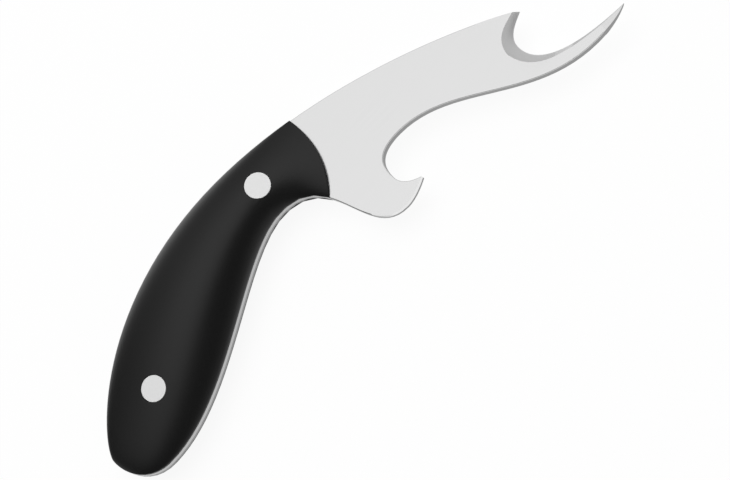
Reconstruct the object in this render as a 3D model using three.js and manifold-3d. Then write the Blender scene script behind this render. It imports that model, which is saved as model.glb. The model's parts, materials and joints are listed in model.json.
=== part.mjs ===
// Shellfish knife: a full-tang steel plate with a hooked cutting end and a shell-cracking prong, two crowned
// handle scales, and two cutler's rivets of two pieces each. Millimetres.
// The knife lies on its side. +X runs from the butt to the point, +Y from the underside to the spine, and +Z
// through the thickness. The origin is under the middle of the knife, on the surface that it lies on.

import * as THREE from 'three';
import { mergeVertices } from 'three/addons/utils/BufferGeometryUtils.js';
import Module from 'manifold-3d';

// Plate, seen square on. Heights are above the base line that the butt and the hook both touch.
const PLATE_THICKNESS = 3;
const HANDLE_LENGTH = 106; // heel of the butt to the scales' front corner on the spine
const BLADE_LENGTH = 93.2; // that corner to the point
const ARCH_HEIGHT = 52.3; // crest of the spine
const CREST_SETBACK = 28; // crest of the spine, behind the scales' front corner
const HEEL_HEIGHT = 12.6; // rearmost point of the butt
const BUTT_LEAD = 12.3; // lowest point of the butt, ahead of the heel
const NECK_WIDTH = 21.2; // crest of the spine down to the top of the finger groove
const GROOVE_SETBACK = 20; // top of the finger groove, behind the scales' front corner

// Prong that cracks shells, with the notch above it
const PRONG_LEAD = 16.8; // prong point, ahead of the scales' front corner
const PRONG_HEIGHT = 8.3; // prong point
const PRONG_NOSE = 9.1; // lowest point of the prong, behind its point
const PRONG_DROP = 3; // lowest point of the prong, below its point
const NOTCH_DEPTH = 6.2; // back of the notch, behind the prong point
const NOTCH_RISE = 7.6; // back of the notch, above the prong point
const NOTCH_GAPE = 14.9; // blade's underside, above the prong point
const NOTCH_BROW = 4.1; // top of the blade's underside, ahead of the prong point

// Hooked cutting end
const POINT_HEIGHT = 2.6;
const HOOK_DEPTH = 30.4; // throat of the hook, behind the point
const THROAT_RISE = 13.4; // throat of the hook, above the point
const LIP_LEAD = 7.5; // lip at the end of the spine, ahead of the throat
const LIP_RISE = 20.8; // lip at the end of the spine, above the point
const HOOK_BELLY = 13.2; // lowest point of the hook, behind the point

// Ground bevel along the inside of the hook, on both sides of the plate
const BEVEL_AT_LIP = 1.6;
const BEVEL_AT_THROAT = 3.7;
const BEVEL_AT_POINT = 0.8;
const BEVEL_FADE = 3; // 1 narrows it evenly towards the point, more brings the narrow part nearer the throat
const EDGE_THICKNESS = 0.2; // steel left at the edge
const POINT_TAPER = 9; // stretch over which the plate thins towards the point
const POINT_THICKNESS = 0.9; // steel left at the point
const WEDGE_OVERRUN = 0.25; // how far what is ground off runs past the steel, as a share of its size

// Handle scales
const SCALE_CROWN = 7; // greatest thickness
const SCALE_FRONT = 1.8; // thickness at the middle of the front end
const SCALE_EDGE = 0.4; // upright wall along the edge of the tang
const CROWN_SETBACK = 52; // thickest place, behind the front corner on the spine
const FRONT_SLANT = 7; // front corner on the underside, behind the one on the spine
const FRONT_BULGE = 3.2; // round of the front end, ahead of the line between its corners
const BULGE_ONSET = 4; // 1 lets the ribs round from the heel on, more only near the front end
const SECTION_FULLNESS = 0.7; // 0.5 is half an ellipse across the handle, 1 a parabola
const GLUE_LINE = 0.1;

// Rivets: a solid shank is pressed into a tubular barrel, and each has a flat head that is set into its scale
const RIVET_HEAD = 7.94; // diameter
const RIVET_LEDGE = 1.2; // head's overhang around the barrel
const BARREL_WALL = 0.9;
const BARREL_FLOOR = 1.6; // solid end of the barrel, next to its head
const HEAD_SEAT = 2; // scale left under each head
const HEAD_SINK = 0.15; // middle of each head, below the crown of its scale
const RIVET_FIT = 0.1; // gap around every part of a rivet
const FRONT_RIVET_SETBACK = 19.5; // behind the scales' front corner
const FRONT_RIVET_DROP = 1; // below the middle of the handle's width
const REAR_RIVET_LEAD = 23.8; // ahead of the heel
const REAR_RIVET_DROP = 1.4; // below the middle of the handle's width

// Fineness of the facets
const OUTLINE_STEPS = 24; // per stretch of the outline
const BEVEL_STEPS = 24; // per stretch of the ground edge
const SCALE_STATIONS = 39; // along the handle
const SCALE_RIBS = 21; // strips across the handle, an odd number so that one lies flat along the crown
const ROUND_SEGMENTS = 40;
const HALVINGS = 40; // steps in which a place on the outline is found

// Headings of the outline, in degrees from +X
const RIGHT = 0;
const UP = 90;
const LEFT = 180;
const DOWN = -90;
const SPINE_INTO_LIP = -33;
const LIP_INTO_HOOK = 207;
const HOOK_INTO_POINT = -2;
const POINT_INTO_BELLY = 208;
const NOTCH_INTO_PRONG = -19;
const PRONG_INTO_NOSE = 208;

const halfPlate = PLATE_THICKNESS / 2;
const glueFace = halfPlate + GLUE_LINE;
const headFloor = glueFace + HEAD_SEAT;
const headRadius = RIVET_HEAD / 2;
const barrelRadius = headRadius - RIVET_LEDGE;
const boreRadius = barrelRadius - BARREL_WALL;
const shankRadius = boreRadius - RIVET_FIT;

const manifold = await Module();
manifold.setup();

// Turning meshes into solids for cutting, and back

function toSolid(geometry) {
  const bare = geometry.clone();
  bare.deleteAttribute('normal');
  bare.deleteAttribute('uv');
  const merged = mergeVertices(bare);
  const mesh = new manifold.Mesh({
    numProp: 3,
    vertProperties: new Float32Array(merged.attributes.position.array),
    triVerts: new Uint32Array(merged.index.array),
  });
  return new manifold.Manifold(mesh);
}

function toGeometry(solid) {
  const mesh = solid.getMesh();
  return meshGeometry(mesh.vertProperties, mesh.triVerts);
}

function meshGeometry(positions, triangles) {
  const geometry = new THREE.BufferGeometry();
  geometry.setAttribute('position', new THREE.Float32BufferAttribute(positions, 3));
  geometry.setIndex(Array.from(triangles));
  geometry.computeVertexNormals();
  return geometry;
}

// The same piece for the other side of the plate
function mirrored(geometry) {
  const copy = geometry.clone();
  copy.scale(1, 1, -1);
  const corners = copy.index.array;
  const triangles = [];
  for (let corner = 0; corner < corners.length; corner += 3) {
    triangles.push(corners[corner], corners[corner + 2], corners[corner + 1]);
  }
  return meshGeometry(copy.attributes.position.array, triangles);
}

// Outline of the plate: knots where it turns, joined by one smooth sweep each

const point = new THREE.Vector2(HANDLE_LENGTH + BLADE_LENGTH, POINT_HEIGHT);
const throat = new THREE.Vector2(point.x - HOOK_DEPTH, point.y + THROAT_RISE);
const lip = new THREE.Vector2(throat.x + LIP_LEAD, point.y + LIP_RISE);
const hookBelly = new THREE.Vector2(point.x - HOOK_BELLY, 0);
const prong = new THREE.Vector2(HANDLE_LENGTH + PRONG_LEAD, PRONG_HEIGHT);
const prongNose = new THREE.Vector2(prong.x - PRONG_NOSE, prong.y - PRONG_DROP);
const notch = new THREE.Vector2(prong.x - NOTCH_DEPTH, prong.y + NOTCH_RISE);
const brow = new THREE.Vector2(prong.x + NOTCH_BROW, prong.y + NOTCH_GAPE);
const crest = new THREE.Vector2(HANDLE_LENGTH - CREST_SETBACK, ARCH_HEIGHT);
const groove = new THREE.Vector2(HANDLE_LENGTH - GROOVE_SETBACK, ARCH_HEIGHT - NECK_WIDTH);
const butt = new THREE.Vector2(BUTT_LEAD, 0);
const heel = new THREE.Vector2(0, HEEL_HEIGHT);

function heading(degrees) {
  const angle = THREE.MathUtils.degToRad(degrees);
  return new THREE.Vector2(Math.cos(angle), Math.sin(angle));
}

// A sweep leaves and arrives at the given headings. Its pulls say how far it keeps to each heading, as shares of
// the straight distance.
function sweep(from, leaves, leavePull, to, arrives, arrivePull) {
  const distance = from.distanceTo(to);
  const first = from.clone().addScaledVector(heading(leaves), leavePull * distance);
  const second = to.clone().addScaledVector(heading(arrives), -arrivePull * distance);
  return new THREE.CubicBezierCurve(from, first, second, to);
}

function reversed(curve) {
  return new THREE.CubicBezierCurve(curve.v3, curve.v2, curve.v1, curve.v0);
}

const rearSpine = sweep(heel, UP, 0.07, crest, RIGHT, 0.6);
const frontSpine = sweep(crest, RIGHT, 0.42, lip, SPINE_INTO_LIP, 0.145);
const upperHook = sweep(lip, LIP_INTO_HOOK, 0.3, throat, DOWN, 0.42);
const lowerHook = sweep(throat, DOWN, 0.36, point, HOOK_INTO_POINT, 0.26);
const hookTip = sweep(point, POINT_INTO_BELLY, 0.24, hookBelly, LEFT, 0.42);
const bladeUnderside = sweep(hookBelly, LEFT, 0.4, brow, LEFT, 0.33);
const upperNotch = sweep(brow, LEFT, 0.62, notch, DOWN, 0.35);
const lowerNotch = sweep(notch, DOWN, 0.33, prong, NOTCH_INTO_PRONG, 0.59);
const prongTip = sweep(prong, PRONG_INTO_NOSE, 0.05, prongNose, LEFT, 0.41);
const grooveFront = sweep(prongNose, LEFT, 0.42, groove, LEFT, 0.53);
const grooveRear = sweep(groove, LEFT, 0.22, butt, LEFT, 0.33);
const buttRound = sweep(butt, LEFT, 0.43, heel, UP, 0.37);

function pathAlong(curves) {
  const path = new THREE.CurvePath();
  curves.forEach((curve) => path.add(curve));
  return path;
}

// Both sides of the handle, from the heel forwards, along which x only grows
const spinePath = pathAlong([rearSpine, frontSpine]);
const undersidePath = pathAlong([reversed(buttRound), reversed(grooveRear), reversed(grooveFront)]);

// Share of a path's length at which it reaches a given x
function shareAt(path, x) {
  let low = 0;
  let high = 1;
  for (let halving = 0; halving < HALVINGS; halving += 1) {
    const middle = (low + high) / 2;
    if (path.getPoint(middle).x < x) {
      low = middle;
    } else {
      high = middle;
    }
  }
  return high;
}

function handleMiddleAt(x) {
  const above = spinePath.getPoint(shareAt(spinePath, x));
  const below = undersidePath.getPoint(shareAt(undersidePath, x));
  return (above.y + below.y) / 2;
}

const frontRivetX = HANDLE_LENGTH - FRONT_RIVET_SETBACK;
const frontRivetPlace = new THREE.Vector2(frontRivetX, handleMiddleAt(frontRivetX) - FRONT_RIVET_DROP);
const rearRivetPlace = new THREE.Vector2(REAR_RIVET_LEAD, handleMiddleAt(REAR_RIVET_LEAD) - REAR_RIVET_DROP);
const rivetPlaces = [frontRivetPlace, rearRivetPlace];

// Round bodies, turned about the axis of a rivet

function turned(profile, place) {
  const points = profile.map(([radius, height]) => new THREE.Vector2(radius, height));
  const geometry = new THREE.LatheGeometry(points, ROUND_SEGMENTS);
  geometry.rotateX(Math.PI / 2);
  geometry.translate(place.x, place.y, 0);
  return geometry;
}

function rod(radius, bottom, top, place) {
  const profile = [[0, bottom], [radius, bottom], [radius, top], [0, top]];
  return toSolid(turned(profile, place));
}

// Blade and tang: one plate, drilled for the rivets and ground along the hook

function plateField(corners) {
  const field = new THREE.ExtrudeGeometry(new THREE.Shape(corners), {
    depth: PLATE_THICKNESS,
    bevelEnabled: false,
  });
  field.translate(0, 0, -halfPlate);
  return toSolid(field);
}

// The plate joins two fields along a line from the spine to the prong, so that the flat sides of the blade are
// faces of their own, clear of the scales
function plateBlank() {
  const bladeSides = [upperHook, lowerHook, hookTip, bladeUnderside, upperNotch, lowerNotch, prongTip];
  const tangSides = [grooveFront, grooveRear, buttRound, rearSpine];
  const alongSides = (sides) => sides.flatMap((side) => side.getPoints(OUTLINE_STEPS).slice(1));
  const spine = frontSpine.getPoints(OUTLINE_STEPS);
  const split = spine.findIndex((corner) => corner.x > HANDLE_LENGTH + FRONT_BULGE);
  const blade = plateField([...spine.slice(split), ...alongSides(bladeSides)]);
  const tang = plateField([prongNose, ...alongSides(tangSides), ...spine.slice(1, split + 1)]);
  return tang.add(blade);
}

// Width of the bevel: it swells from the lip to the throat and fades towards the point
function bevelWidths() {
  const widths = [];
  for (let step = 0; step <= BEVEL_STEPS; step += 1) {
    const share = THREE.MathUtils.smoothstep(step / BEVEL_STEPS, 0, 1);
    widths.push(THREE.MathUtils.lerp(BEVEL_AT_LIP, BEVEL_AT_THROAT, share));
  }
  for (let step = 1; step <= BEVEL_STEPS; step += 1) {
    const left = 1 - step / BEVEL_STEPS;
    widths.push(THREE.MathUtils.lerp(BEVEL_AT_POINT, BEVEL_AT_THROAT, left ** BEVEL_FADE));
  }
  return widths;
}

// Stations along the edge of the hook, with one more past each end
function bevelStations() {
  const places = [];
  const tangents = [];
  [upperHook, lowerHook].forEach((curve, order) => {
    for (let step = order; step <= BEVEL_STEPS; step += 1) {
      places.push(curve.getPointAt(step / BEVEL_STEPS));
      tangents.push(curve.getTangentAt(step / BEVEL_STEPS));
    }
  });
  const stations = bevelWidths().map((width, index) => (
    { place: places[index], tangent: tangents[index], width }
  ));
  const first = stations[0];
  const last = stations[stations.length - 1];
  const before = first.place.clone().addScaledVector(first.tangent, -PLATE_THICKNESS);
  const after = last.place.clone().addScaledVector(last.tangent, PLATE_THICKNESS);
  stations.unshift({ ...first, place: before });
  stations.push({ ...last, place: after });
  return stations;
}

// What the grinder takes off one side of the hook: a wedge that follows the edge
function bevelWedge() {
  const positions = [];
  const triangles = [];
  const stations = bevelStations();
  stations.forEach(({ place, tangent, width }) => {
    const inward = new THREE.Vector2(tangent.y, -tangent.x);
    const depth = halfPlate - EDGE_THICKNESS / 2;
    const outer = place.clone().addScaledVector(inward, -WEDGE_OVERRUN * width);
    const inner = place.clone().addScaledVector(inward, (1 + WEDGE_OVERRUN) * width);
    const low = EDGE_THICKNESS / 2 - WEDGE_OVERRUN * depth;
    const high = halfPlate + WEDGE_OVERRUN * depth;
    positions.push(outer.x, outer.y, low, inner.x, inner.y, high, outer.x, outer.y, high);
  });
  const lastCorner = 3 * (stations.length - 1);
  triangles.push(0, 1, 2);
  for (let start = 0; start < lastCorner; start += 3) {
    for (let side = 0; side < 3; side += 1) {
      const near = start + side;
      const next = start + (side + 1) % 3;
      triangles.push(next, near, near + 3, next, near + 3, next + 3);
    }
  }
  triangles.push(lastCorner + 2, lastCorner + 1, lastCorner);
  return meshGeometry(positions, triangles);
}

// What the grinder takes off one side of the point
function pointWedge() {
  const start = new THREE.Vector2(point.x - POINT_TAPER, halfPlate);
  const end = new THREE.Vector2(point.x, POINT_THICKNESS / 2);
  const before = start.clone().lerp(end, -WEDGE_OVERRUN);
  const after = start.clone().lerp(end, 1 + WEDGE_OVERRUN);
  const profile = new THREE.Shape([before, after, new THREE.Vector2(after.x, before.y)]);
  const wedge = new THREE.ExtrudeGeometry(profile, { depth: 2 * THROAT_RISE, bevelEnabled: false });
  wedge.rotateX(Math.PI / 2);
  wedge.translate(0, point.y + THROAT_RISE, 0);
  return toGeometry(toSolid(wedge));
}

function bladeGeometry() {
  let plate = plateBlank();
  [bevelWedge(), pointWedge()].forEach((wedge) => {
    plate = plate.subtract(toSolid(wedge)).subtract(toSolid(mirrored(wedge)));
  });
  rivetPlaces.forEach((place) => {
    plate = plate.subtract(rod(barrelRadius + RIVET_FIT, -PLATE_THICKNESS, PLATE_THICKNESS, place));
  });
  return toGeometry(plate);
}

// Handle scale: ribs across the handle, from the heel to the rounded front end, under a crown that is round on
// every rib and an arch along the handle

const spineEnd = shareAt(spinePath, HANDLE_LENGTH);
const undersideEnd = shareAt(undersidePath, HANDLE_LENGTH - FRONT_SLANT);
const crownPeak = shareAt(spinePath, HANDLE_LENGTH - CROWN_SETBACK) / spineEnd;

function crownAt(share) {
  if (share < crownPeak) {
    const rise = Math.sin((share / crownPeak) * Math.PI / 2);
    return THREE.MathUtils.lerp(SCALE_EDGE, SCALE_CROWN, rise);
  }
  const fall = Math.cos(((share - crownPeak) / (1 - crownPeak)) * Math.PI / 2);
  return THREE.MathUtils.lerp(SCALE_FRONT, SCALE_CROWN, fall);
}

// Points of one rib, from the underside to the spine, at the height of the crown
function ribAt(share) {
  const below = undersidePath.getPoint(share * undersideEnd);
  const above = spinePath.getPoint(share * spineEnd);
  const across = above.clone().sub(below);
  const forward = new THREE.Vector2(across.y, -across.x).normalize();
  const bulge = FRONT_BULGE * share ** BULGE_ONSET;
  const rib = [];
  for (let step = 0; step <= SCALE_RIBS; step += 1) {
    const angle = (step / SCALE_RIBS) * Math.PI;
    const fromEdges = Math.sin(angle) ** 2;
    const place = below.clone().addScaledVector(across, (1 - Math.cos(angle)) / 2);
    place.addScaledVector(forward, bulge * fromEdges);
    const height = THREE.MathUtils.lerp(SCALE_EDGE, crownAt(share), fromEdges ** SECTION_FULLNESS);
    rib.push(new THREE.Vector3(place.x, place.y, glueFace + height));
  }
  return rib;
}

function scaleBlank() {
  const vertices = [];
  const triangles = [];

  function vertex(place, height) {
    vertices.push(place.x, place.y, height);
    return vertices.length / 3 - 1;
  }

  function quad(a, b, c, d) {
    triangles.push(a, b, c, a, c, d);
  }

  // Crown
  const tip = vertex(heel, glueFace + SCALE_EDGE);
  const crown = [];
  const ribs = [];
  for (let station = 1; station <= SCALE_STATIONS; station += 1) {
    const share = 1 - Math.cos((station / SCALE_STATIONS) * Math.PI / 2);
    const rib = ribAt(share);
    ribs.push(rib);
    crown.push(rib.map((place) => vertex(place, place.z)));
  }
  for (let step = 0; step < SCALE_RIBS; step += 1) {
    triangles.push(tip, crown[0][step], crown[0][step + 1]);
    for (let station = 0; station < SCALE_STATIONS - 1; station += 1) {
      const near = crown[station];
      const far = crown[station + 1];
      quad(near[step], far[step], far[step + 1], near[step + 1]);
    }
  }

  // Rim of the glue face: along the underside, round the front end and back along the spine
  const front = ribs[SCALE_STATIONS - 1];
  const frontCrown = crown[SCALE_STATIONS - 1];
  const rimPlaces = [
    heel,
    ...ribs.slice(0, -1).map((rib) => rib[0]),
    ...front,
    ...ribs.slice(0, -1).map((rib) => rib[SCALE_RIBS]).reverse(),
  ];
  const rimTops = [
    tip,
    ...crown.slice(0, -1).map((rib) => rib[0]),
    ...frontCrown,
    ...crown.slice(0, -1).map((rib) => rib[SCALE_RIBS]).reverse(),
  ];
  const rim = rimPlaces.map((place) => vertex(place, glueFace));
  rim.forEach((corner, index) => {
    const next = (index + 1) % rim.length;
    quad(corner, rim[next], rimTops[next], rimTops[index]);
  });

  // Glue face
  const contour = rimPlaces.map((place) => new THREE.Vector2(place.x, place.y));
  THREE.ShapeUtils.triangulateShape(contour, []).forEach(([a, b, c]) => {
    triangles.push(rim[a], rim[c], rim[b]);
  });
  return meshGeometry(vertices, triangles);
}

const blankScale = scaleBlank();
const aboveScale = glueFace + 2 * SCALE_CROWN;

function scaleGeometry() {
  let scale = toSolid(blankScale);
  rivetPlaces.forEach((place) => {
    scale = scale.subtract(rod(barrelRadius + RIVET_FIT, 0, aboveScale, place));
    scale = scale.subtract(rod(headRadius + RIVET_FIT, headFloor, aboveScale, place));
  });
  return toGeometry(scale);
}

// Rivets: each head is ground flat, square to the crown at its middle

const headUnderside = headFloor + RIVET_FIT;
const barrelMouth = headFloor - RIVET_FIT;
const boreFloor = -headFloor + BARREL_FLOOR;

function headSolid(place) {
  const above = new THREE.Vector3(place.x, place.y, aboveScale);
  const plumb = new THREE.Raycaster(above, new THREE.Vector3(0, 0, -1));
  const crown = plumb.intersectObject(new THREE.Mesh(blankScale))[0];
  const overhead = new THREE.BoxGeometry(2 * RIVET_HEAD, 2 * RIVET_HEAD, aboveScale);
  overhead.translate(0, 0, aboveScale / 2 - HEAD_SINK);
  const tilt = new THREE.Quaternion().setFromUnitVectors(new THREE.Vector3(0, 0, 1), crown.face.normal);
  overhead.applyQuaternion(tilt);
  overhead.translate(crown.point.x, crown.point.y, crown.point.z);
  return rod(headRadius, headUnderside, aboveScale, place).subtract(toSolid(overhead));
}

function shankRivet(place) {
  const shank = rod(shankRadius, boreFloor + RIVET_FIT, headUnderside + RIVET_FIT, place);
  return toGeometry(headSolid(place).add(shank));
}

function barrelRivet(place) {
  const head = toSolid(mirrored(toGeometry(headSolid(place))));
  const barrel = rod(barrelRadius, -headUnderside - RIVET_FIT, barrelMouth, place);
  const bore = rod(boreRadius, boreFloor, headFloor, place);
  return toGeometry(head.add(barrel).subtract(bore));
}

// Finishes
const steel = new THREE.MeshStandardMaterial({ color: 0xd8d9d8, roughness: 0.32, metalness: 1 });
const scaleBlack = new THREE.MeshStandardMaterial({ color: 0x161617, roughness: 0.42, metalness: 0 });
const rivetSteel = new THREE.MeshStandardMaterial({ color: 0xdcdcda, roughness: 0.28, metalness: 1 });

// Assembly
const knife = new THREE.Group();

function addPiece(name, geometry, material) {
  const piece = new THREE.Mesh(geometry, material);
  piece.name = name;
  knife.add(piece);
}

const scale = scaleGeometry();
addPiece('blade_and_tang', bladeGeometry(), steel);
addPiece('upper_scale', scale, scaleBlack);
addPiece('lower_scale', mirrored(scale), scaleBlack);
addPiece('front_rivet_shank', shankRivet(frontRivetPlace), rivetSteel);
addPiece('front_rivet_barrel', barrelRivet(frontRivetPlace), rivetSteel);
addPiece('rear_rivet_shank', shankRivet(rearRivetPlace), rivetSteel);
addPiece('rear_rivet_barrel', barrelRivet(rearRivetPlace), rivetSteel);

const reach = new THREE.Box3().setFromObject(knife);
const middle = reach.getCenter(new THREE.Vector3());
knife.position.set(-middle.x, -middle.y, -reach.min.z);

export default knife;
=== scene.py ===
"""Looks of the shellfish knife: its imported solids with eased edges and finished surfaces, lying on a pale
floor in soft studio light. Lengths are in metres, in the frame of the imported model: +X runs from the butt to
the point, +Y from the underside to the spine, and +Z up."""

import json
import math

import bpy
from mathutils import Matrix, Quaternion, Vector


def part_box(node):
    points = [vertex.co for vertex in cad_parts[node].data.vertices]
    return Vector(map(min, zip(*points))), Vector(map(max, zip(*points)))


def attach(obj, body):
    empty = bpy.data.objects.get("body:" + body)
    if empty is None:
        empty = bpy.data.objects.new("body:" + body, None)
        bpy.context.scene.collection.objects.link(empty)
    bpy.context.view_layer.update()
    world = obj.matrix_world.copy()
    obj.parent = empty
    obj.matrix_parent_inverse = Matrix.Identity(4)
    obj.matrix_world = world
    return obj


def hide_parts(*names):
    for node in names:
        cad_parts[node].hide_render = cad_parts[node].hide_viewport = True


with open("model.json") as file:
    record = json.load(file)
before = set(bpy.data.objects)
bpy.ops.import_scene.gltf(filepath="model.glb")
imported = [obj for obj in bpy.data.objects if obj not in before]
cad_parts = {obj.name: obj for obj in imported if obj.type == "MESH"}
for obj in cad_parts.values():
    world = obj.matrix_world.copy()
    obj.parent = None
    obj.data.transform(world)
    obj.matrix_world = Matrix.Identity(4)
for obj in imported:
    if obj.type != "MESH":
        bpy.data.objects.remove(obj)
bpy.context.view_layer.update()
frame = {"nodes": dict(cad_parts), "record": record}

MM = 0.001
ALONG = (1, 0, 0)
UPWARDS = (0, 0, 1)

# Photograph and camera
PHOTO_WIDTH = 730
PHOTO_PIXEL = 0.29 * MM  # what one pixel covers at the aim
CAMERA_DISTANCE = 1.0
CAMERA_SIDE = math.radians(-77)  # from +X, round the vertical
CAMERA_ELEVATION = math.radians(69)
CAMERA_ROLL = math.radians(57)
NEAREST_SEEN = 0.01
FARTHEST_SEEN = 50
AIM_FROM_BUTT = 98.06 * MM  # along the knife
AIM_FROM_BASE = 7.11 * MM  # across the knife, from the line that the butt and the hook touch

# Shaping
MERGE_DISTANCE = 0.001 * MM
FLAT_ANGLE = math.radians(0.05)  # facets closer than this are one face
SMOOTH_ANGLE = math.radians(40)  # sharper edges keep their crease
FLAT_COSINE = 0.97  # a face that lies flat, or slopes as little as the thinned point
STEEP_COSINE = 0.65  # a bevel steeper than this
UPRIGHT_COSINE = 0.05  # a wall
FACING_COSINE = 0.5  # a face that looks mostly one way
IN_LINE_COSINE = 0.97  # two walls that go on from each other
NARROW_WALL = 0.32 * MM
PLATE_EASE = 0.22 * MM
PLATE_EASE_STEPS = 3
HEAD_EASE = 0.15 * MM
HEAD_EASE_STEPS = 2
NECK_EASE_SETBACK = 4.5 * MM  # from the end of the tang, to under the scale's lower corner
SPINE_EASE_SETBACK = 7 * MM  # from the hook's throat
PRONG_SWEEP = 14.4 * MM  # from the notch back to where the prong leaves the neck
POINT_TAPER = 10 * MM  # where the plate is thinner, behind the point

# Finishes
LENGTHWISE = (60, 3000, 3000)  # grains to the metre along each axis
EVEN = (2500, 2500, 2500)
GRAIN_DETAIL = 3
RELIEF_STRENGTH = 0.25
STEEL_TONE_SPREAD = 0.03
STEEL_ROUGHNESS_SPREAD = 0.04
BLACK_TONE_SPREAD = 1 / 3  # as a share of the tone
BLACK_ROUGHNESS_SPREAD = 0.05
PAINTED_SHADE_SHARE = 0.4  # of a wall's height from below, painted darker as shade: the shadowed floor that the wall would mirror
PAINTED_SHADE_FADE = 3 * MM  # along the wall under the neck, from the end of the tang, where the painted shade deepens
POLISH_AND_PAINTED_SHADE_FADE = 5 * MM  # along the wall outside the prong, from the neck, where the painted shade lifts and the polish comes in
TANG_END_TONE_PAINTED_SHADE = 0.6  # at the end of the tang, as a share of the tone outside the prong; painted shade
NECK_TONE_PAINTED_SHADE = 0.25  # under the neck, as the same share; painted shade for the shadowed floor that the wall would mirror
POLISHED_ROUGHNESS = 0.5  # outside the prong, as a share of the roughness under the neck

# Studio
FLOOR_SIZE = 12.0
FLOOR_WHITE = 0.95
FLOOR_GLOW = 0.92  # share of the floor's white that shadow doesn't darken
LAMP_SIZE = 1.4
LAMP_PLACE = Vector((0.1, 0.5, 1.6))
LAMP_WATTS = 19.0

# The sky is a soft light over the knife and beyond it, dark towards the butt and lighter again low behind it.
# A weak fill comes from all round, stronger near the floor and most of all low on the camera's side. Each list
# runs along one axis of a direction and gives the brightness at places between -1 and 1.
SOFT_LIGHT_ACROSS = ((-0.18, 0), (-0.02, 0.72), (0.15, 0.95), (0.4, 0.9), (1, 0.3))
SOFT_LIGHT_ALONG = (
    (-1, 0.8), (-0.82, 0.6), (-0.72, 0), (-0.5, 0.3), (-0.25, 0.92), (-0.1, 1), (0.1, 0.95), (1, 0.6),
)
FILL_ACROSS = ((-1, 0.7), (-0.85, 0.5), (-0.7, 0.18), (-0.6, 0.14), (-0.1, 0.14), (0.1, 0.06))
FILL_UPWARDS = ((0.05, 0.2), (0.25, 0))


# Modelling

def select_only(piece):
    bpy.ops.object.select_all(action="DESELECT")
    piece.select_set(True)
    bpy.context.view_layer.objects.active = piece


def copy_of(node, name, finishes):
    """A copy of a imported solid, its loose triangles joined into whole faces, which stands for the solid."""
    piece = bpy.data.objects.new(name, frame["nodes"][node].data.copy())
    piece.data.name = name
    piece.data.materials.clear()
    for finish in finishes:
        piece.data.materials.append(finish)
    bpy.context.scene.collection.objects.link(piece)
    select_only(piece)
    bpy.ops.mesh.customdata_custom_splitnormals_clear()
    bpy.ops.object.mode_set(mode="EDIT")
    bpy.ops.mesh.select_all(action="SELECT")
    bpy.ops.mesh.remove_doubles(threshold=MERGE_DISTANCE)
    bpy.ops.mesh.dissolve_limited(angle_limit=FLAT_ANGLE)
    bpy.ops.object.mode_set(mode="OBJECT")
    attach(piece, "root")
    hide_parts(node)
    return piece


def edit_edges(piece, wanted):
    """Start editing a piece, with each edge selected whose two faces pass a test."""
    meeting = [[] for _ in piece.data.edges]
    for face in piece.data.polygons:
        for corner in face.loop_indices:
            meeting[piece.data.loops[corner].edge_index].append(face)
    chosen = [len(faces) == 2 and wanted(*faces) for faces in meeting]
    select_only(piece)
    bpy.ops.object.mode_set(mode="EDIT")
    bpy.ops.mesh.select_mode(type="EDGE")
    bpy.ops.mesh.select_all(action="DESELECT")
    bpy.ops.object.mode_set(mode="OBJECT")
    for edge, choice in zip(piece.data.edges, chosen):
        edge.select = choice
    bpy.ops.object.mode_set(mode="EDIT")


def join_faces(piece, wanted):
    """Make one face of each two neighbours that pass a test."""
    edit_edges(piece, wanted)
    bpy.ops.mesh.dissolve_edges(use_verts=True)
    bpy.ops.object.mode_set(mode="OBJECT")


def cut_faces(piece, place, direction):
    """Cut all faces of a piece where they cross the plane through a place, square to a direction."""
    select_only(piece)
    bpy.ops.object.mode_set(mode="EDIT")
    bpy.ops.mesh.select_all(action="SELECT")
    bpy.ops.mesh.bisect(plane_co=place, plane_no=direction)
    bpy.ops.object.mode_set(mode="OBJECT")


def ease_edges(piece, width, steps, wanted, finish=-1):
    """Round each edge whose two faces pass a test, in the finish of the faces beside it or in a given one."""
    edit_edges(piece, wanted)
    bpy.ops.mesh.bevel(offset=width, segments=steps, affect="EDGES", clamp_overlap=True, material=finish)
    bpy.ops.object.mode_set(mode="OBJECT")


def smooth(piece, is_crisp=None):
    """Smooth shading that keeps creases sharp and large faces flat. Faces that pass a test are left out."""
    select_only(piece)
    bpy.ops.object.shade_smooth_by_angle(angle=SMOOTH_ANGLE)
    for face in piece.data.polygons:
        face.use_smooth = not (is_crisp and is_crisp(face))
    weights = piece.modifiers.new("weights", "WEIGHTED_NORMAL")
    weights.keep_sharp = True
    bpy.ops.object.modifier_apply(modifier=weights.name)


def is_flat(face):
    return abs(face.normal.z) > FLAT_COSINE


def is_wall(face):
    return abs(face.normal.z) < UPRIGHT_COSINE


def is_slanting(face):
    return not is_flat(face) and not is_wall(face)


# Materials

def new_material(name):
    material = bpy.data.materials.new(name)
    material.use_nodes = True
    return material, material.node_tree.nodes, material.node_tree.links


def value_along(nodes, links, share, stops):
    """A value that runs through the given stops, each a place on an axis and the value there."""
    first = stops[0][0]
    last = stops[-1][0]
    spread = nodes.new("ShaderNodeMapRange")
    spread.inputs["From Min"].default_value = first
    spread.inputs["From Max"].default_value = last
    ramp = nodes.new("ShaderNodeValToRGB")
    while len(ramp.color_ramp.elements) < len(stops):
        ramp.color_ramp.elements.new(position=0.5)
    for element, (place, value) in zip(ramp.color_ramp.elements, stops):
        element.position = (place - first) / (last - first)
        element.color = (value, value, value, 1)
    links.new(share, spread.inputs["Value"])
    links.new(spread.outputs["Result"], ramp.inputs["Fac"])
    return ramp.outputs["Color"]


def combined(nodes, links, operation, first, second):
    node = nodes.new("ShaderNodeMath")
    node.operation = operation
    links.new(first, node.inputs[0])
    links.new(second, node.inputs[1])
    return node.outputs["Value"]


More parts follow.
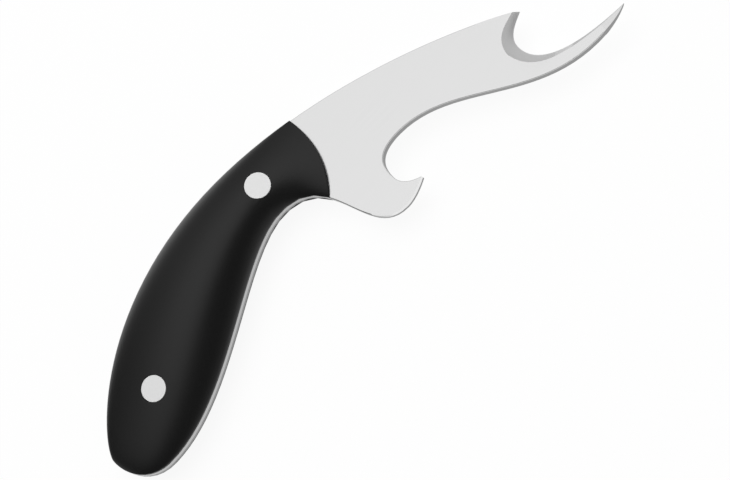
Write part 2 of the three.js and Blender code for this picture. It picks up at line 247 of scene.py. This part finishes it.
def grained(name, tone, tone_spread, grains, roughness, roughness_spread, depth):
    """A grey finish with a grain, which varies the tone and the roughness, and stands up from the surface by
    the given depth."""
    material, nodes, links = new_material(name)
    shader = nodes["Principled BSDF"]
    place = nodes.new("ShaderNodeTexCoord")
    stretch = nodes.new("ShaderNodeMapping")
    stretch.inputs["Scale"].default_value = grains
    noise = nodes.new("ShaderNodeTexNoise")
    noise.inputs["Scale"].default_value = 1
    noise.inputs["Detail"].default_value = GRAIN_DETAIL
    shade = nodes.new("ShaderNodeMapRange")
    shade.inputs["To Min"].default_value = tone - tone_spread
    shade.inputs["To Max"].default_value = tone + tone_spread
    sheen = nodes.new("ShaderNodeMapRange")
    sheen.inputs["To Min"].default_value = roughness - roughness_spread
    sheen.inputs["To Max"].default_value = roughness + roughness_spread
    relief = nodes.new("ShaderNodeBump")
    relief.inputs["Strength"].default_value = RELIEF_STRENGTH
    relief.inputs["Distance"].default_value = depth
    links.new(place.outputs["Object"], stretch.inputs["Vector"])
    links.new(stretch.outputs["Vector"], noise.inputs["Vector"])
    links.new(noise.outputs["Fac"], shade.inputs["Value"])
    links.new(noise.outputs["Fac"], sheen.inputs["Value"])
    links.new(noise.outputs["Fac"], relief.inputs["Height"])
    links.new(shade.outputs["Result"], shader.inputs["Base Color"])
    links.new(sheen.outputs["Result"], shader.inputs["Roughness"])
    links.new(relief.outputs["Normal"], shader.inputs["Normal"])
    return material, shader


def steel(name, tone, grains, roughness, depth, metallic=1):
    material, shader = grained(
        name, tone, STEEL_TONE_SPREAD, grains, roughness, STEEL_ROUGHNESS_SPREAD, depth,
    )
    shader.inputs["Metallic"].default_value = metallic
    return material


def black(name, tone, grains, roughness, depth, gloss):
    material, shader = grained(
        name, tone, BLACK_TONE_SPREAD * tone, grains, roughness, BLACK_ROUGHNESS_SPREAD, depth,
    )
    shader.inputs["Specular IOR Level"].default_value = gloss
    return material


def change_along(finish, tone_shares, roughness_shares):
    """Lower the tone and the roughness of a finish to shares of them that change along the knife."""
    nodes = finish.node_tree.nodes
    links = finish.node_tree.links
    shader = nodes["Principled BSDF"]
    place = nodes.new("ShaderNodeSeparateXYZ")
    links.new(nodes["Texture Coordinate"].outputs["Object"], place.inputs["Vector"])
    for name, stops in (("Base Color", tone_shares), ("Roughness", roughness_shares)):
        full = shader.inputs[name].links[0].from_socket
        share = value_along(nodes, links, place.outputs["X"], stops)
        links.new(combined(nodes, links, "MULTIPLY", full, share), shader.inputs[name])


satin_steel = steel("satin_steel", tone=0.82, grains=LENGTHWISE, roughness=0.2, depth=0.002 * MM)
# Its tone is lowered along the knife under the neck further down, as painted shade for the shadowed floor that
# the wall would mirror.
prong_steel = steel("prong_steel", tone=0.82, grains=LENGTHWISE, roughness=0.4, depth=0.002 * MM)
ground_steel = steel("ground_steel", tone=0.88, grains=EVEN, roughness=0.65, depth=0.006 * MM)
# Walls as cut: the dark tone is painted shade, standing for the shadowed floor beside the knife that the walls
# would mirror.
cut_steel = steel("cut_steel", tone=0.3, grains=EVEN, roughness=0.45, depth=0.01 * MM)
# Rubbed steel: the rougher grain is real, and the lowered tone is painted shade for the shadowed floor that
# the tang's walls and steep slopes would mirror.
rubbed_steel = steel("rubbed_steel", tone=0.5, grains=LENGTHWISE, roughness=0.4, depth=0.01 * MM)
rivet_steel = steel("rivet_steel", tone=0.76, grains=EVEN, roughness=0.5, depth=0.002 * MM, metallic=0.1)
satin_black = black("satin_black", tone=0.003, grains=EVEN, roughness=0.3, depth=0.02 * MM, gloss=0.45)
sawn_black = black("sawn_black", tone=0.006, grains=EVEN, roughness=0.65, depth=0.04 * MM, gloss=0.2)

# Blade and tang
plate_low, plate_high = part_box("blade_and_tang")
plate_thickness = plate_high.z - plate_low.z
openings = {opening["name"]: opening["box_m"] for opening in frame["record"]["physics"]["openings"]}
notch_low, notch_high = openings["cracking_notch"]
throat_low = openings["hook_throat"][0]
tang_end_at_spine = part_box("upper_scale")[1].x
tang_end_below = openings["finger_groove"][1][0]
neck_ease_start = tang_end_below - NECK_EASE_SETBACK
prong_start = notch_low[0] - PRONG_SWEEP
spine_ease_end = throat_low[0] - SPINE_EASE_SETBACK
taper_start = plate_high.x - POINT_TAPER
painted_shade_height = plate_low.z + PAINTED_SHADE_SHARE * plate_thickness
blade_finishes = [satin_steel, prong_steel, ground_steel, cut_steel, rubbed_steel]

# Painted shade: under the neck the upper part of the wall darkens from the rubbed tang's tone to a deeper
# shade, and outside the prong it goes back to full tone and gets polished.
change_along(
    prong_steel,
    tone_shares=(
        (tang_end_below, TANG_END_TONE_PAINTED_SHADE),
        (tang_end_below + PAINTED_SHADE_FADE, NECK_TONE_PAINTED_SHADE),
        (prong_start, NECK_TONE_PAINTED_SHADE),
        (prong_start + POLISH_AND_PAINTED_SHADE_FADE, 1),
    ),
    roughness_shares=((prong_start, 1), (prong_start + POLISH_AND_PAINTED_SHADE_FADE, POLISHED_ROUGHNESS)),
)


def is_on_tang(face):
    return face.center.x < (tang_end_at_spine if face.center.y > 0 else tang_end_below)


def is_under_neck(face):
    return tang_end_below < face.center.x < prong_start and face.normal.y < 0


def is_outside_prong(face):
    along_prong = prong_start < face.center.x < notch_high[0]
    return along_prong and face.center.y < notch_low[1] and face.normal.y < 0


def is_by_throat(face):
    return face.center.x > spine_ease_end and face.center.y > throat_low[1]


# Walls and steep slopes get darker steels than the flats, as painted shade for the shadowed floor they would
# mirror.
def blade_finish(face):
    if is_flat(face):
        return satin_steel
    if is_slanting(face):
        return ground_steel if abs(face.normal.z) > STEEP_COSINE else rubbed_steel
    # The lower part of each wall is painted shade.
    if face.center.z < painted_shade_height:
        return cut_steel
    if is_on_tang(face):
        return rubbed_steel
    if is_under_neck(face) or is_outside_prong(face):
        return prong_steel
    return cut_steel


def crowded_walls(first, second):
    """Two walls in line outside the prong, one of them so narrow that it would limit the easing beside it."""
    at_prong = is_outside_prong(first) and is_outside_prong(second)
    in_line = is_wall(first) and is_wall(second) and first.normal.dot(second.normal) > IN_LINE_COSINE
    return at_prong and in_line and min(first.area, second.area) < NARROW_WALL * plate_thickness


def blade_rim(first, second):
    """A rim to be eased. The tang, the outside of the prong, the throat and the point keep theirs sharp."""
    wall, flat = (first, second) if is_wall(first) else (second, first)
    start = neck_ease_start if wall.normal.y < 0 else tang_end_below
    on_rim = is_wall(wall) and is_flat(flat) and start < wall.center.x < taper_start
    return on_rim and not is_outside_prong(wall) and not is_by_throat(wall)


def is_eased_neck(face):
    return is_slanting(face) and face.center.x < prong_start and face.normal.y < 0


def is_neck_ease_end(face):
    """A small face where the easing under the neck runs out at the prong."""
    return is_slanting(face) and is_outside_prong(face)


blade = copy_of("blade_and_tang", "blade", blade_finishes)
join_faces(blade, crowded_walls)
for place in (neck_ease_start, tang_end_below, prong_start, spine_ease_end, taper_start):
    cut_faces(blade, (place, 0, 0), ALONG)
cut_faces(blade, (0, 0, painted_shade_height), UPWARDS)
for face in blade.data.polygons:
    face.material_index = blade_finishes.index(blade_finish(face))
ease_edges(blade, PLATE_EASE, PLATE_EASE_STEPS, blade_rim, finish=blade_finishes.index(satin_steel))
# The eased rim under the neck takes the dark cut steel, a painted shade line, and where it runs out at the
# prong it takes the prong's steel.
for face in blade.data.polygons:
    if is_eased_neck(face):
        face.material_index = blade_finishes.index(cut_steel)
    if is_neck_ease_end(face):
        face.material_index = blade_finishes.index(prong_steel)
smooth(blade, is_neck_ease_end)

# Handle scales, each sawn off ahead of the front rivet
front_rivet_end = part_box("front_rivet_shank")[1].x
scale_finishes = [satin_black, sawn_black]


def is_front_end(face):
    return is_wall(face) and face.normal.x > FACING_COSINE and face.center.x > front_rivet_end


for side in ("upper", "lower"):
    handle_scale = copy_of(side + "_scale", side + "_handle_scale", scale_finishes)
    for face in handle_scale.data.polygons:
        face.material_index = scale_finishes.index(sawn_black if is_front_end(face) else satin_black)
    smooth(handle_scale)


# Rivets, each head with an eased rim

def upper_head_rim(first, second):
    wall, top = (first, second) if is_wall(first) else (second, first)
    return is_wall(wall) and top.normal.z > FACING_COSINE


def lower_head_rim(first, second):
    wall, bottom = (first, second) if is_wall(first) else (second, first)
    return is_wall(wall) and bottom.normal.z < -FACING_COSINE


for end in ("front", "rear"):
    for half, head_rim in (("shank", upper_head_rim), ("barrel", lower_head_rim)):
        rivet = copy_of(f"{end}_rivet_{half}", f"{end}_rivet_{half}_ground", [rivet_steel])
        ease_edges(rivet, HEAD_EASE, HEAD_EASE_STEPS, head_rim)
        smooth(rivet)


# Floor

def seen_or_mirrored(nodes, links):
    """1 for what the camera sees straight, in a reflection or through glass, else 0."""
    path = nodes.new("ShaderNodeLightPath")
    total = path.outputs["Is Camera Ray"]
    for kind in ("Is Glossy Ray", "Is Transmission Ray"):
        total = combined(nodes, links, "MAXIMUM", total, path.outputs[kind])
    return total


def floor_finish():
    """White that glows where it is looked at, and is dull enough to keep the knife's shadow."""
    material, nodes, links = new_material("floor_white")
    nodes.remove(nodes["Principled BSDF"])
    dull = nodes.new("ShaderNodeBsdfDiffuse")
    dull.inputs["Color"].default_value = (FLOOR_WHITE, FLOOR_WHITE, FLOOR_WHITE, 1)
    glow = nodes.new("ShaderNodeEmission")
    share = nodes.new("ShaderNodeMath")
    share.operation = "MULTIPLY"
    share.inputs[1].default_value = FLOOR_GLOW
    blend = nodes.new("ShaderNodeMixShader")
    links.new(seen_or_mirrored(nodes, links), share.inputs[0])
    links.new(share.outputs["Value"], blend.inputs["Fac"])
    links.new(dull.outputs["BSDF"], blend.inputs[1])
    links.new(glow.outputs["Emission"], blend.inputs[2])
    links.new(blend.outputs["Shader"], nodes["Material Output"].inputs["Surface"])
    return material


bpy.ops.object.select_all(action="DESELECT")
bpy.ops.mesh.primitive_plane_add(size=FLOOR_SIZE)
floor = bpy.context.object
floor.name = "floor"
floor.data.materials.append(floor_finish())

# Sky
sky = bpy.data.worlds.new("sky")
bpy.context.scene.world = sky
sky.use_nodes = True
nodes = sky.node_tree.nodes
links = sky.node_tree.links
direction = nodes.new("ShaderNodeTexCoord")
shares = nodes.new("ShaderNodeSeparateXYZ")
links.new(direction.outputs["Generated"], shares.inputs["Vector"])
soft_light = combined(
    nodes, links, "MULTIPLY",
    value_along(nodes, links, shares.outputs["Y"], SOFT_LIGHT_ACROSS),
    value_along(nodes, links, shares.outputs["X"], SOFT_LIGHT_ALONG),
)
fill = combined(
    nodes, links, "ADD",
    value_along(nodes, links, shares.outputs["Y"], FILL_ACROSS),
    value_along(nodes, links, shares.outputs["Z"], FILL_UPWARDS),
)
nodes["Background"].inputs["Color"].default_value = (1, 1, 1, 1)
links.new(combined(nodes, links, "ADD", soft_light, fill), nodes["Background"].inputs["Strength"])

# Lamp for dull surfaces, kept out of reflections
bpy.ops.object.light_add(type="AREA", location=LAMP_PLACE)
lamp = bpy.context.object
lamp.name = "soft_lamp"
lamp.data.size = LAMP_SIZE
lamp.data.energy = LAMP_WATTS
lamp.rotation_euler = LAMP_PLACE.to_track_quat("Z", "Y").to_euler()
lamp.visible_glossy = False

# Camera
aim = Vector((
    plate_low.x + AIM_FROM_BUTT,
    plate_low.y + AIM_FROM_BASE,
    (plate_low.z + plate_high.z) / 2,
))
level = math.cos(CAMERA_ELEVATION)
backwards = Vector((
    level * math.cos(CAMERA_SIDE),
    level * math.sin(CAMERA_SIDE),
    math.sin(CAMERA_ELEVATION),
))
turn = backwards.to_track_quat("Z", "Y") @ Quaternion(UPWARDS, -CAMERA_ROLL)
bpy.ops.object.camera_add(location=aim + CAMERA_DISTANCE * backwards, rotation=turn.to_euler())
camera = bpy.context.object
camera.data.lens = camera.data.sensor_width * CAMERA_DISTANCE / (PHOTO_PIXEL * PHOTO_WIDTH)
camera.data.clip_start = NEAREST_SEEN
camera.data.clip_end = FARTHEST_SEEN
bpy.context.scene.camera = camera
bpy.context.scene.view_settings.view_transform = "Standard"
